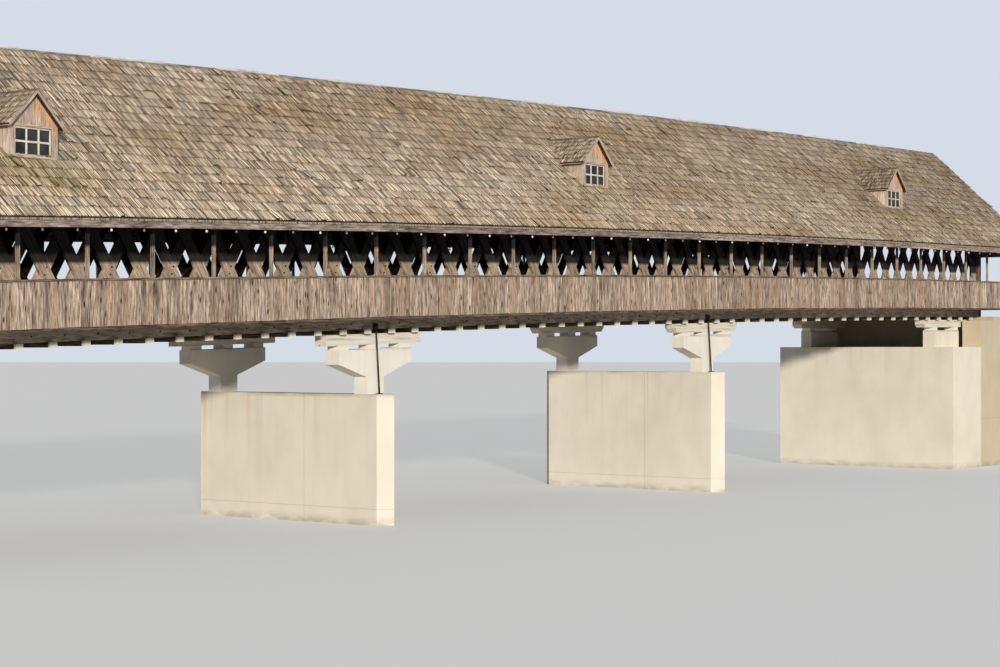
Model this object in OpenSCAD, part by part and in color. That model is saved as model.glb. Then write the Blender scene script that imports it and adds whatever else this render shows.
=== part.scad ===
// Covered bridge of three spans, built at half its real size.
// Two lattice trusses carry a roofed roadway between them and a walkway outside each.
// X runs along the bridge, Y across it, Z up from the water. Heights called
// "above the line" or "below the line" are taken from the siding's bottom edge,
// which climbs from left to right and has a slight camber.

/* [Bridge line] */
// Distance between the outer posts
bay = 1220; // [1100:5:1250]
// Number of bays from end to end, an even number
bays = 30; // [28:2:30]
// Height of the siding's bottom edge above the water at mid-length
line_h = 3610; // [3500:10:4200]
// Climb of the bridge for each unit of length
grade = 0.0268; // [0:0.0002:0.035]
// Camber of the siding's bottom edge between its ends and mid-length
camber = 152; // [60:2:240]
// Length of the chords, decks and siding past the middle of the last post
end_past = 35; // [25:1:70]
// Length of roof that runs past the last post
hood = 1150; // [900:10:1200]

/* [Trusses] */
// Distance from the centre line to the middle of each truss
truss_y = 1695; // [1600:5:1750]
// Height of a truss over its chords
truss_h = 2400; // [2300:10:2420]
// Depth of the lower chord's bottom below the line
chord_drop = 205; // [180:5:230]
// Depth of a chord
chord_d = 285; // [240:5:320]
// Thickness of a chord plank
chord_t = 75; // [50:1:90]
// Width of a lattice plank
lattice_w = 188; // [140:2:230]
// Thickness of a lattice plank
lattice_t = 45; // [30:1:60]
// Angle of the lattice planks to the chord
lattice_a = 58; // [54:0.5:62]
// Height above the line of the row of crossings behind the posts
crossing_z = 790; // [700:10:900]
// Width of the post that closes each end of a truss
end_post_w = 150; // [100:5:200]

/* [Floor] */
// Width of a floor beam along the bridge
beam_w = 125; // [90:5:160]
// Depth of the beam ends that pass under the chords
beam_end_d = 75; // [60:5:100]
// Length of the beam ends past the chords
beam_past = 110; // [60:5:130]
// Thickness of the road deck's planks
road_t = 40; // [25:1:60]
// Gap between the road deck and the chords
road_gap = 15; // [5:1:30]
// Clear width of a walkway between its chord and the outer posts
walk_w = 770; // [720:5:800]
// Thickness of the walkway's planks
walk_t = 25; // [15:1:40]
// Height of the walkway's joists above the line
joist_up = 60; // [40:5:80]
// Depth of the walkway's joists
joist_d = 100; // [70:5:120]
// Width of a walkway joist
joist_w = 60; // [40:5:90]

/* [Outer walls] */
// Side of an outer post
post_w = 45; // [36:1:70]
// Height of the siding with its top rail
siding_h = 670; // [550:10:750]
// Thickness of the siding boards
siding_t = 15; // [10:1:25]
// Height of the top rail
rail_h = 30; // [20:1:45]
// Thickness of the top rail
rail_t = 40; // [30:1:60]
// Depth of the plate on top of the outer posts
plate_d = 110; // [80:5:130]

/* [Roof] */
// Clearance between a rafter and the truss's outer upper corner, measured upright
rafter_gap = 136.5; // [120:0.5:150]
// Pitch of the roof
roof_pitch = 42.3; // [41.6:0.1:42.8]
// Distance from the centre line to the fascia's outer face
eave_y = 2880; // [2840:5:2920]
// Distance that the covering runs past the fascia
drip = 20; // [10:1:40]
// Thickness of the covering, measured upright
shake_t = 26; // [18:1:36]
// Thickness of the roof boards under it, measured upright
board_t = 36; // [25:1:45]
// Depth of a rafter, measured upright
rafter_d = 80; // [60:2:90]
// Width of a rafter
rafter_w = 60; // [40:2:80]
// Depth of the notch in the rafters for the plate
notch_d = 30; // [15:1:40]
// Height of the fascia
fascia_h = 115; // [90:5:125]
// Thickness of the fascia
fascia_t = 12; // [8:1:20]
// Depth of a tie beam
tie_d = 150; // [110:5:160]
// Width of a tie beam
tie_w = 100; // [70:5:130]
// Width of each side of the ridge cap
cap_w = 95; // [60:5:140]
// Thickness of the ridge cap, measured upright
cap_t = 16; // [10:1:24]

/* [Dormers] */
// Place of the left dormer along the bridge
left_dormer_x = -12600; // [-14000:50:-9000]
// Place of the middle dormer along the bridge
middle_dormer_x = 1000; // [-3000:10:3000]
// Place of the right dormer along the bridge
right_dormer_x = 13350; // [9000:50:14000]
// Distance from the centre line to a dormer's front
dormer_y = 1950; // [1850:10:2100]
// Width of a dormer
dormer_w = 875; // [800:5:1000]
// Height of a dormer's front wall up to its eaves
dormer_h = 450; // [430:5:500]
// Pitch of a dormer's roof
dormer_pitch_a = 46; // [40:1:50]
// Thickness of a dormer's walls
dormer_t = 40; // [25:1:50]
// Thickness of a dormer's roof, measured upright
dormer_roof_t = 42; // [30:1:55]
// Overhang of a dormer's roof
dormer_over = 55; // [30:1:80]
// Width of a dormer's window
window_w = 650; // [500:5:680]
// Height of a dormer's window
window_h = 400; // [300:5:410]
// Height of the window sill above the roof
sill_h = 22; // [12:1:30]
// Thickness of the glass
glass_t = 6; // [4:1:10]

/* [Portals] */
// Clear height of the road through a portal above the line
portal_h = 2150; // [2100:10:2180]
// Height of a walkway's doorway above the line
door_h = 1300; // [1200:10:1400]
// Width of board beside a walkway's doorway
door_side = 50; // [30:5:90]
// Thickness of the portal walls
portal_t = 20; // [15:1:30]

/* [Piers] */
// Distance from mid-length to each pier
pier_x = 5225; // [4800:25:5500]
// Thickness of a pier
pier_t = 410; // [360:5:460]
// Length of a pier between its pointed noses
pier_l = 4080; // [4000:10:4200]
// Height of a pedestal
pedestal_h = 755; // [700:5:800]
// Thickness of a pedestal across the bridge
pedestal_t = 290; // [250:5:320]
// Length of a pedestal's head along the bridge
head_l = 1840; // [1700:10:2000]
// Depth of the head at its ends
head_d = 236; // [200:2:260]
// Depth of the slope from the head to the stem
flare_d = 232; // [200:2:260]
// Width of a pedestal's stem
stem_w = 420; // [360:5:480]

/* [Bearings] */
// Length of a timber bolster
bolster_l = 2400; // [2200:10:2500]
// Depth of a bolster
bolster_d = 180; // [150:5:200]
// Width of a bolster
bolster_w = 240; // [200:5:280]
// Cut at the lower corners of the right-hand bolsters
bolster_cut = 90; // [40:5:140]
// Height of a bearing block
block_h = 72; // [60:1:90]
// Length of a bearing block
block_l = 250; // [200:5:320]
// Distance between bearing blocks
block_pitch = 770; // [650:10:790]
// Thickness of a tie rod
rod_t = 30; // [20:1:40]
// Distance between the chord and the top of a tie rod
rod_out = 30; // [22:1:60]
// Distance between the pedestal and the foot of a tie rod
rod_foot = 85; // [60:1:100]
// Side of a tie rod's plates
rod_plate = 90; // [70:2:120]
// Thickness of a tie rod's plates
rod_plate_t = 14; // [8:1:20]

/* [Abutments] */
// Distance from mid-length to an abutment's front
abutment_x = 15600; // [15200:50:15700]
// Thickness of an abutment's front wall
front_t = 1600; // [1550:10:1700]
// Distance from the front wall's face to the middle of its bearings
bearing_in = 800; // [760:10:840]
// Width that an abutment reaches past the middle of each truss
abutment_past = 700; // [600:10:760]
// Height of a seat pedestal
seat_h = 418; // [380:2:460]
// Length of a seat pedestal
seat_l = 1400; // [1300:10:1500]
// Thickness of the wing walls
wing_t = 500; // [480:5:560]
// Depth of the wing walls' tops below the line
wing_drop = 300; // [290:5:400]
// Thickness of the back wall
back_t = 400; // [300:10:440]

/* [Hidden] */
// Planks and timbers that are fused reach this far into each other
bite = 2;
// Straight stretches of the line on each side of mid-length
stretches = 3;

half_l = bay*bays/2;
end_x = half_l + end_past;
roof_x = half_l + hood;
stretch_l = half_l/stretches;
pitch = bay/2;

chord_top = chord_d - chord_drop;
truss_top = truss_h - chord_drop;
lattice_run = 1/tan(lattice_a);
lattice_foot = -chord_drop - lattice_w;
lattice_head = truss_top + lattice_w;
chord_in = truss_y - lattice_t - chord_t;
chord_out = truss_y + lattice_t + chord_t;
road_y = chord_in - road_gap;
beam_bottom = -chord_drop - beam_end_d;

post_in = chord_out + walk_w;
post_out = post_in + post_w;
siding_out = post_out + siding_t;

slope = tan(roof_pitch);
rafter_under = truss_top + rafter_gap + chord_out*slope;
under = rafter_under + rafter_d;
ridge_h = under + board_t + shake_t;
drip_y = eave_y + drip;
fascia_in = eave_y - fascia_t;
fascia_top = ridge_h - shake_t - eave_y*slope;
plate_top = rafter_under - post_out*slope + notch_d;
plate_bottom = plate_top - plate_d;
tie_top = truss_top + tie_d;
tie_y = (rafter_under - tie_top)/slope;
gable_y = (under - portal_h)/slope;

dormer_half = dormer_w/2;
dormer_base = ridge_h - dormer_y*slope;
dormer_eave = dormer_base + dormer_h;
dormer_slope = tan(dormer_pitch_a);
dormer_peak = dormer_eave + dormer_half*dormer_slope;
dormer_back = (ridge_h - dormer_eave)/slope;
dormer_xs = [left_dormer_x, middle_dormer_x, right_dormer_x];

bolster_top = beam_bottom;
block_top = bolster_top - bolster_d;
head_top = block_top - block_h;
abutment_y = truss_y + abutment_past;
bearing_x = abutment_x + bearing_in;

// Height of the bridge line at x: a shallow curve taken in straight stretches
function curve_z(x) = line_h + grade*x - camber*pow(x/half_l, 2);
function stretch(x) = min(max(floor(x/stretch_l), -stretches), stretches - 1);
function line_z(x) = let (i = stretch(x), t = x/stretch_l - i)
    curve_z(i*stretch_l)*(1 - t) + curve_z((i + 1)*stretch_l)*t;

// Places between x0 and x1 where the line bends, with both ends
function stations(x0, x1) = concat([x0],
    [for (i = [-stretches:stretches]) if (i*stretch_l > x0 && i*stretch_l < x1) i*stretch_l], [x1]);

// Places a step apart, n to each side of mid-length, the last ones flush with the ends
function places(step, n, w) = concat([for (k = [1 - n:n - 1]) k*step], [-1, 1]*(end_x - w/2));

// Side view outline between two heights from the line
module outline(x0, x1, z0, z1) {
    xs = stations(x0, x1);
    polygon(concat([for (x = xs) [x, line_z(x) + z0]],
        [for (i = [len(xs) - 1:-1:0]) [xs[i], line_z(xs[i]) + z1]]));
}

// Side view outline from the ground level up to a height from the line
module wall_outline(x0, x1, z1) {
    xs = stations(x0, x1);
    polygon(concat([[x0, 0], [x1, 0]],
        [for (i = [len(xs) - 1:-1:0]) [xs[i], line_z(xs[i]) + z1]]));
}

// A row of like outlines, centred on the places in xs
module row(xs, w, z0, z1) {
    for (x = xs) outline(x - w/2, x + w/2, z0, z1);
}

// Gives a side view outline its thickness from y0 to y1
module across(y0, y1) {
    translate([0, y1, 0]) rotate([90, 0, 0]) linear_extrude(y1 - y0) children();
}

// Carries an end view outline of [y, height from the line] along the bridge
module along(x0, x1, points) {
    xs = stations(x0, x1);
    n = len(points);
    last = (len(xs) - 1)*n;
    polyhedron(
        [for (x = xs) for (p = points) [x, p[0], line_z(x) + p[1]]],
        concat(
            [[for (i = [0:n - 1]) i]],
            [[for (i = [n - 1:-1:0]) last + i]],
            [for (k = [0:len(xs) - 2]) for (i = [0:n - 1]) let (j = (i + 1)%n)
                [k*n + i, (k + 1)*n + i, (k + 1)*n + j, k*n + j]]),
        convexity = 4);
}

module near() {
    mirror([0, 1, 0]) children();
}

module both_sides() {
    children();
    near() children();
}

// Piers and abutments

module pier(x) {
    t = pier_t/2;
    l = pier_l/2;
    top = line_z(x) + head_top - pedestal_h;
    color("antiquewhite") translate([x, 0, 0]) linear_extrude(top)
        polygon([[-t, -l], [0, -l - t], [t, -l], [t, l], [0, l + t], [-t, l]]);
}

module pedestals(x) {
    foot = line_z(x) + head_top - pedestal_h;
    h = head_l/2;
    s = stem_w/2;
    head_bottom = head_top - head_d;
    color("linen") both_sides() across(truss_y - pedestal_t/2, truss_y + pedestal_t/2) {
        outline(x - h, x + h, head_bottom, head_top);
        polygon([
            [x - s, foot], [x + s, foot],
            [x + s, line_z(x + s) + head_bottom - flare_d],
            [x + h, line_z(x + h) + head_bottom], [x + h, line_z(x + h) + head_bottom + bite],
            [x - h, line_z(x - h) + head_bottom + bite], [x - h, line_z(x - h) + head_bottom],
            [x - s, line_z(x - s) + head_bottom - flare_d]]);
    }
}

// The front wall of an abutment with a seat for each truss; side is -1 or 1
module abutment(side) {
    bearing = side*bearing_x;
    top = line_z(bearing) + head_top - seat_h;
    color("antiquewhite") {
        translate([side*(abutment_x + front_t/2) - front_t/2, -abutment_y, 0])
            cube([front_t, 2*abutment_y, top]);
        both_sides() across(truss_y - pedestal_t/2, truss_y + pedestal_t/2) difference() {
            wall_outline(bearing - seat_l/2, bearing + seat_l/2, head_top);
            translate([bearing - seat_l, 0]) square([2*seat_l, top - bite]);
        }
    }
}

module wing_walls(side) {
    x0 = side < 0 ? -end_x : abutment_x + front_t;
    x1 = side < 0 ? -abutment_x - front_t : end_x;
    back0 = side < 0 ? -end_x : end_x - back_t;
    color("antiquewhite") {
        both_sides() across(abutment_y - wing_t, abutment_y) wall_outline(x0, x1, -wing_drop);
        across(-abutment_y, abutment_y) wall_outline(back0, back0 + back_t, -chord_drop);
        across(-road_y, road_y) wall_outline(back0, back0 + back_t, 0);
    }
}

// Bearings

module bolsters(xs, cut) {
    color("whitesmoke") both_sides() across(truss_y - bolster_w/2, truss_y + bolster_w/2)
        for (x = xs) difference() {
            outline(x - bolster_l/2, x + bolster_l/2, block_top, bolster_top);
            if (cut > 0) for (end = [x - bolster_l/2, x + bolster_l/2])
                translate([end, line_z(end) + block_top]) rotate(45)
                    square(cut*sqrt(2), center = true);
        }
}

module bearing_blocks() {
    color("linen") both_sides() across(truss_y - bolster_w/2, truss_y + bolster_w/2) {
        for (x = [-pier_x, pier_x])
            row([for (i = [-1:1]) x + i*block_pitch], block_l, head_top, block_top);
        for (x = [-bearing_x, bearing_x])
            row([for (i = [-1, 1]) x + i*(seat_l - block_l)/2], block_l, head_top, block_top);
    }
}

// A rod that ties the lower chord down to the pier beside its pedestal
module tie_rod(x) {
    y0 = chord_out + rod_out;
    y1 = truss_y + pedestal_t/2 + rod_foot;
    z0 = line_z(x) - chord_drop + rod_plate;
    z1 = line_z(x) + head_top - pedestal_h;
    drop = z0 - z1 - rod_plate_t/2;
    lean = atan((y1 - y0)/drop);
    translate([x, y0, z0]) rotate([lean, 0, 0]) translate([0, 0, -drop/cos(lean)])
        cylinder(d = rod_t, h = drop/cos(lean), $fn = 24);
    translate([x - rod_plate/2, chord_out, z0 - rod_plate])
        cube([rod_plate, rod_out + rod_t/2, rod_plate]);
    translate([x - rod_plate/2, y1 - rod_plate/2, z1]) cube([rod_plate, rod_plate, rod_plate_t]);
}

module tie_rods() {
    color("dimgray") both_sides() for (x = [-pier_x, pier_x]) tie_rod(x);
}

// Floor

module floor_beams() {
    xs = [for (k = [1 - bays:bays - 1]) k*pitch];
    end_y = chord_out + beam_past;
    color("dimgray") {
        across(-end_y, end_y) row(xs, beam_w, beam_bottom, -chord_drop);
        across(-road_y, road_y) row(xs, beam_w, beam_bottom, 0);
    }
}

module road_deck() {
    color("tan") across(-road_y, road_y) outline(-end_x, end_x, 0, road_t);
}

module walkway() {
    color("tan") {
        across(chord_out, post_in) outline(-end_x, end_x, joist_up, joist_up + walk_t);
        across(chord_out, post_in)
            row(places(pitch, bays, joist_w), joist_w, joist_up - joist_d, joist_up + bite);
        across(post_in - bite, post_out) outline(-end_x, end_x, joist_up - joist_d, joist_up);
    }
}

// Trusses

module lattice_plank(x, lean) {
    half = lattice_w/sin(lattice_a)/2;
    polygon([for (corner = [[lattice_foot, -half], [lattice_foot, half], [lattice_head, half], [lattice_head, -half]])
        let (at = x + lean*(corner[0] - crossing_z)*lattice_run + corner[1])
        [at, line_z(at) + corner[0]]]);
}

// One layer of planks with its end post, cut off along the chords. The inner layer is
// inset a little, so that the fused layers have no faces in one plane.
module lattice_layer(x0, x1, lean, inset) {
    reach = ceil((lattice_head - lattice_foot)*lattice_run/pitch) + 1;
    intersection() {
        union() {
            for (k = [floor(x0/pitch) - reach:ceil(x1/pitch) + reach]) lattice_plank(k*pitch, lean);
            if (x0 < 0) outline(x0, x0 + end_post_w - inset, lattice_foot, lattice_head);
            if (x1 > 0) outline(x1 - end_post_w + inset, x1, lattice_foot, lattice_head);
        }
        outline(x0 + inset, x1 - inset, inset - chord_drop, truss_top - inset);
    }
}

module lattice(x0, x1) {
    color("saddlebrown") {
        across(truss_y - lattice_t, truss_y + bite) lattice_layer(x0, x1, 1, bite);
        across(truss_y, truss_y + lattice_t) lattice_layer(x0, x1, -1, 0);
    }
}

module chord(z0) {
    color("gray") {
        across(chord_in, truss_y - lattice_t) outline(-end_x, end_x, z0, z0 + chord_d);
        across(truss_y + lattice_t, chord_out) outline(-end_x, end_x, z0, z0 + chord_d);
    }
}

// Outer walls

module posts() {
    color("rosybrown") across(post_in, post_out)
        row(places(bay, bays/2, post_w), post_w, joist_up, plate_bottom);
}

module siding() {
    color("burlywood") {
        across(post_out, siding_out) outline(-end_x, end_x, 0, siding_h - rail_h + bite);
        across(post_out, post_out + rail_t) outline(-end_x, end_x, siding_h - rail_h, siding_h);
    }
}

// Roof

module tie_beams() {
    color("dimgray") across(-tie_y, tie_y)
        row(places(bay, bays/2, tie_w), tie_w, truss_top, tie_top);
}

module rafters() {
    xs = concat(places(bay, bays/2, rafter_w), [-1, 1]*(roof_x - rafter_w/2));
    color("peru") {
        for (x = xs) along(x - rafter_w/2, x + rafter_w/2, [
            [0, rafter_under], [fascia_in, rafter_under - fascia_in*slope],
            [fascia_in, under - fascia_in*slope], [0, under]]);
        plate();
    }
}

module plate() {
    across(post_in, post_out) outline(-roof_x, roof_x, plate_bottom, plate_top);
}

module roof() {
    color("gray") difference() {
        along(-roof_x, roof_x, [
            [0, under], [fascia_in, under - fascia_in*slope],
            [fascia_in, ridge_h - shake_t - fascia_in*slope],
            [drip_y, ridge_h - shake_t - drip_y*slope],
            [drip_y, ridge_h - drip_y*slope], [0, ridge_h]]);
        for (x = dormer_xs) translate([x, (dormer_back + dormer_y - dormer_t)/2, line_z(x) + ridge_h])
            cube([dormer_w - 2*dormer_t, dormer_y - dormer_t - dormer_back, 2*ridge_h], center = true);
    }
}

module ridge_cap() {
    fall = cap_w*slope;
    color("gainsboro") both_sides() along(-roof_x, roof_x, [
        [0, ridge_h], [cap_w, ridge_h - fall], [cap_w, ridge_h - fall + cap_t], [0, ridge_h + cap_t]]);
}

module fascia() {
    color("lightgray") across(fascia_in, eave_y)
        outline(-roof_x, roof_x, fascia_top - fascia_h, fascia_top);
}

// Dormers, each standing on the finished roof

module roof_body(x) {
    along(x - dormer_w, x + dormer_w, [
        [0, 0], [drip_y, 0], [drip_y, ridge_h - drip_y*slope], [0, ridge_h]]);
}

module dormer_walls() {
    color("sienna") for (x = dormer_xs) difference() {
        union() {
            across(dormer_y - dormer_t, dormer_y) translate([x, line_z(x)]) difference() {
                polygon([
                    [-dormer_half, dormer_base - dormer_h], [dormer_half, dormer_base - dormer_h],
                    [dormer_half, dormer_eave], [0, dormer_peak], [-dormer_half, dormer_eave]]);
                translate([-window_w/2, dormer_base + sill_h]) square([window_w, window_h]);
            }
            across(dormer_back - dormer_t, dormer_y - bite) translate([x, line_z(x)])
                for (x0 = [-dormer_half, dormer_half - dormer_t])
                    translate([x0, dormer_base - dormer_h]) square([dormer_t, 2*dormer_h]);
        }
        roof_body(x);
    }
}

module dormer_roofs() {
    reach = dormer_half + dormer_over;
    eave = dormer_peak - reach*dormer_slope;
    color("gray") for (x = dormer_xs) difference() {
        across((ridge_h - dormer_peak - dormer_roof_t)/slope - dormer_over, dormer_y + dormer_over)
            translate([x, line_z(x)]) polygon([
                [-reach, eave], [0, dormer_peak], [reach, eave],
                [reach, eave + dormer_roof_t], [0, dormer_peak + dormer_roof_t],
                [-reach, eave + dormer_roof_t]]);
        roof_body(x);
    }
}

module dormer_glass() {
    color("lightsteelblue") both_sides() for (x = dormer_xs)
        across(dormer_y - dormer_t/2 - glass_t/2, dormer_y - dormer_t/2 + glass_t/2)
            translate([x - window_w/2, line_z(x) + dormer_base + sill_h])
                square([window_w, window_h]);
}

// Portals

// Stands an end view outline of [y, height from the line] at x0, as thick as the portal walls
module end_wall(x0) {
    translate([x0, 0, line_z(x0)]) rotate([90, 0, 90]) linear_extrude(portal_t) children();
}

module gable(x0) {
    color("tan") end_wall(x0) polygon([[-gable_y, portal_h], [gable_y, portal_h], [0, under]]);
}

module portal_sides(x0) {
    door0 = chord_out + door_side;
    door1 = post_in - door_side;
    color("tan") both_sides() difference() {
        end_wall(x0) polygon([
            [road_y, -chord_drop], [door0, -chord_drop], [door0, door_h], [door1, door_h],
            [door1, joist_up - joist_d], [siding_out, joist_up - joist_d],
            [siding_out, under - siding_out*slope], [gable_y, portal_h], [road_y, portal_h]]);
        plate();
    }
}

pier(-pier_x);  // pier_1
pier(pier_x);  // pier_2
pedestals(-pier_x);  // pier_1_pedestals
pedestals(pier_x);  // pier_2_pedestals
abutment(-1);  // left_abutment
abutment(1);  // right_abutment
wing_walls(-1);  // left_wing_walls
wing_walls(1);  // right_wing_walls
bolsters([-pier_x], 0);  // pier_1_bolsters
bolsters([pier_x], bolster_cut);  // pier_2_bolsters
bolsters([-bearing_x, bearing_x], bolster_cut);  // abutment_bolsters
bearing_blocks();
tie_rods();
floor_beams();
road_deck();
near() walkway();  // near_walkway
walkway();  // far_walkway
near() lattice(-end_x, 0);  // near_lattice_left
near() lattice(0, end_x);  // near_lattice_right
lattice(-end_x, 0);  // far_lattice_left
lattice(0, end_x);  // far_lattice_right
near() chord(-chord_drop);  // near_lower_chord
chord(-chord_drop);  // far_lower_chord
near() chord(truss_top - chord_d);  // near_upper_chord
chord(truss_top - chord_d);  // far_upper_chord
near() posts();  // near_posts
posts();  // far_posts
near() siding();  // near_siding
siding();  // far_siding
tie_beams();
near() rafters();  // near_rafters
rafters();  // far_rafters
near() roof();  // near_roof
roof();  // far_roof
ridge_cap();
near() fascia();  // near_fascia
fascia();  // far_fascia
gable(-end_x - portal_t);  // left_gable
gable(end_x);  // right_gable
portal_sides(-end_x - portal_t);  // left_portal_sides
portal_sides(end_x);  // right_portal_sides
near() dormer_walls();  // near_dormer_walls
dormer_walls();  // far_dormer_walls
near() dormer_roofs();  // near_dormer_roofs
dormer_roofs();  // far_dormer_roofs
dormer_glass();
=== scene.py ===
import math

import bpy
import numpy as np
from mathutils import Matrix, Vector


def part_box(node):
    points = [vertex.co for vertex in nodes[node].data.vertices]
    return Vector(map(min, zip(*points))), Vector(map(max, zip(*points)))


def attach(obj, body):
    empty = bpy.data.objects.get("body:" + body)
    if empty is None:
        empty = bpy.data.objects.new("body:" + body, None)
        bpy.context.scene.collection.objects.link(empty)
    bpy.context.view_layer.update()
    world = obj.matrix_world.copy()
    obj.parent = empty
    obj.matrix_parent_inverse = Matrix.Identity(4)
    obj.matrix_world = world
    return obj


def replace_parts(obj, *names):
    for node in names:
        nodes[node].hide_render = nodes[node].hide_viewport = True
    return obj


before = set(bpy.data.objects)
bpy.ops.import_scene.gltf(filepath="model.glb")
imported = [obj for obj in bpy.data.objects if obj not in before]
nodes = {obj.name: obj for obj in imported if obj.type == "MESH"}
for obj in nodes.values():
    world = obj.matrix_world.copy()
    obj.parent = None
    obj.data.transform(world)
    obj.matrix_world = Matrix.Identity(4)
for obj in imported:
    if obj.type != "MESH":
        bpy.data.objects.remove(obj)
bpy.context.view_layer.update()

# Sizes in metres. Heights are taken from the bridge line, the siding's bottom edge.

# Bridge line
BAY = 1.22
BAYS = 30
STRETCHES = 3
LINE_H = 3.61
GRADE = 0.0268
CAMBER = 0.152
HALF_L = BAY*BAYS/2
HALF_BAY = BAY/2

# Ends and faces, taken from the frame
END_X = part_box("near_siding")[1].x
ROOF_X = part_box("near_roof")[1].x
PORTAL_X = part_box("right_gable")[1].x
DRIP_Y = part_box("far_roof")[1].y
EAVE_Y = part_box("far_fascia")[1].y
SIDING_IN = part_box("far_posts")[1].y
POST_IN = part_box("far_posts")[0].y
TRUSS_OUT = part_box("far_lattice_left")[1].y
TRUSS_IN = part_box("far_lattice_left")[0].y
CHORD_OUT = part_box("far_lower_chord")[1].y
CHORD_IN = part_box("far_lower_chord")[0].y
ROAD_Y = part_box("road_deck")[1].y
BEAM_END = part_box("floor_beams")[1].y

# Trusses
CHORD_D = 0.285
CHORD_DROP = 0.205
TRUSS_H = 2.4
LATTICE_A = math.radians(58)
LAYERS_Y = (TRUSS_IN + TRUSS_OUT)/2
CROSSING_Z = 0.79
ROW_H = HALF_BAY/2*math.tan(LATTICE_A)
BOLT_ROWS = range(-1, 3)
BOLT_R = 0.013
BOLT_H = 0.012
BOLT_RIM = BOLT_R*0.35
BOLT_CROWN = BOLT_H*0.4
BOLT_STEP = 0.055
BOLT_LEAN = 0.3
NUT_Y = CHORD_OUT + 0.045
NUT_Z = 0.045 - CHORD_DROP
NUT_SCALE = 2

# Siding and its rail
SIDING_H = 0.642
SIDING_T = 0.015
SIDING_W = (0.088, 0.150)
SIDING_UNEVEN = 0.007
SIDING_ROUGH = 0.003
RAIL_H = 0.03
RAIL_T = 0.04
RAIL_L = (3.0, 5.5)
RAIL_LAP = 0.002
RAIL_GAP = 0.001
BOARD_GAP = 0.004

# Floor
WALK_TOP = 0.085
WALK_PLANK_T = 0.012
ROAD_T = 0.04
ROAD_PLANK_L = (2.5, 5.0)
PLANK_W = (0.11, 0.15)
PLANK_GAP = 0.002
WALK_PROUD = (0.001, 0.004)
FACE_UNEVEN = 0.003
# How far in from the floor beams' ends the painted sunlight reaches
BEAM_PAINTED_SUNLIGHT = 0.05

# Roof
RIDGE_H = 4.125
ROOF_A = math.radians(42.3)
SLOPE = math.tan(ROOF_A)
SLOPE_L = DRIP_Y/math.cos(ROOF_A)
SHAKE_LAYER = 0.026
ROOF_T = 0.062
COURSES = 19.2
SHAKE_W = (0.050, 0.125)
SHAKE_T = (0.010, 0.024)
SHAKE_GAP = (0.004, 0.012)
SHAKE_LAP = 0.07
SHAKE_UNEVEN = 0.022
SHAKE_LIFT = 0.009
LOOSE_SHARE = 0.10
LOOSE_LIFT = (0.010, 0.034)
LOOSE_TWIST = 0.016
TIGHT_LIFT = (0, 0.004)
TIGHT_TWIST = 0.005
EAVE_IN = 0.024
EAVE_UNEVEN = 0.008
CAP_W = 0.095
CAP_T = 0.016
CAP_L = (1.1, 3.1)
STRIP_X = 1.28
STRIP_STEP = 2.8
STRIP_STEPS = range(-7, 7)
STRIP_SHIFT = 0.15
STRIP_L = 1.46
STRIP_L_PLAY = 0.12
STRIP_W = 0.045
STRIP_T = 0.024
STRIP_LIFT = 0.014
FASCIA_H = 0.115
FASCIA_T = 0.012
FASCIA_L = (2.2, 4.2)
FASCIA_GAP = 0.0015
FASCIA_UNEVEN = 0.004
FASCIA_TOP = RIDGE_H - SHAKE_LAYER - EAVE_Y*SLOPE

# Dormers
DORMER_XS = (-12.6, 1.0, 13.35)
CHEEK_BOARD_W = 0.11
DORMER_Y = 1.95
DORMER_HALF = 0.4375
DORMER_A = math.radians(46)
DORMER_BASE = RIDGE_H - DORMER_Y*SLOPE
DORMER_EAVE = DORMER_BASE + 0.45
DORMER_PEAK = DORMER_EAVE + DORMER_HALF*math.tan(DORMER_A)
DORMER_BACK = (RIDGE_H - DORMER_EAVE)/SLOPE
DORMER_TOP = DORMER_PEAK + 0.042
DORMER_OVER = 0.055
DORMER_LIP = 0.032
DORMER_SLOPE_L = (DORMER_HALF + DORMER_OVER)/math.cos(DORMER_A)
DORMER_RAFTER_Y = DORMER_Y + DORMER_OVER
DORMER_FRONT = DORMER_RAFTER_Y + DORMER_LIP
DORMER_COURSES = 6
DORMER_SHAKE_W = (0.05, 0.11)
DORMER_SHAKE_GAP = 0.004
DORMER_SHAKE_L = 1.4*DORMER_SLOPE_L/DORMER_COURSES
DORMER_SHAKES_IN = 0.04
DORMER_LOOSE = 0.02
SHAKES_PAST = 0.012
FRONT_BOARD_T = 0.008
RAKE_D = 0.036
RAKE_T = 0.013
EAVE_BOARD_D = 0.030
EAVE_BOARD_W = EAVE_BOARD_D*0.8
EAVE_BOARD_T = 0.010
EAVE_BOARD_BACK = 0.05
SOFFIT_D = 0.028
DORMER_CAP_W = 0.06
DORMER_CAP_T = 0.012
DORMER_CAP_LIFT = 0.008
DORMER_CAPS_IN = 0.02
MOSS_HALF = DORMER_HALF*1.7
MOSS_BELOW = 0.22
MOSS_DEPTH = 0.38

# Boards that cross or meet lie this much apart, so that no two faces share a plane
UNLIKE = 0.001

# Dormer windows
WINDOW_HALF = 0.325
WINDOW_Z = DORMER_BASE + 0.022
WINDOW_H = 0.4
BOARDS_OVER = 7
CASING_W = 0.036
CASING_IN = 0.03
CASING_OUT = 0.022
CASING_DOWN = 0.005
SILL_PAST = 0.06
SILL_OUT = 0.045
SILL_DOWN = 0.030
SILL_UP = 0.006
BAR_HALF = 0.014
SASH_HALF = 0.012
GLASS_IN = 0.006

# Portals
END_BOARD_W = 0.13
PORTAL_H = 2.15
DOOR_H = 1.3
DOOR_FROM_CHORD = 0.05
DOOR_FROM_SIDING = 0.12
WALL_FOOT = -0.04
WALL_OUT = SIDING_IN + SIDING_T
WALL_BOARD_W = (0.1, 0.17)
WALL_BOARD_T = 0.012
TRIM_OUT = 0.022
TRIM_W = 0.11
LINTEL_H = 0.14
CORNER_W = 0.09
CORNER_H = 1.55
ROOF_UNDER = RIDGE_H - ROOF_T
CUT_IN = 0.002

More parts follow.
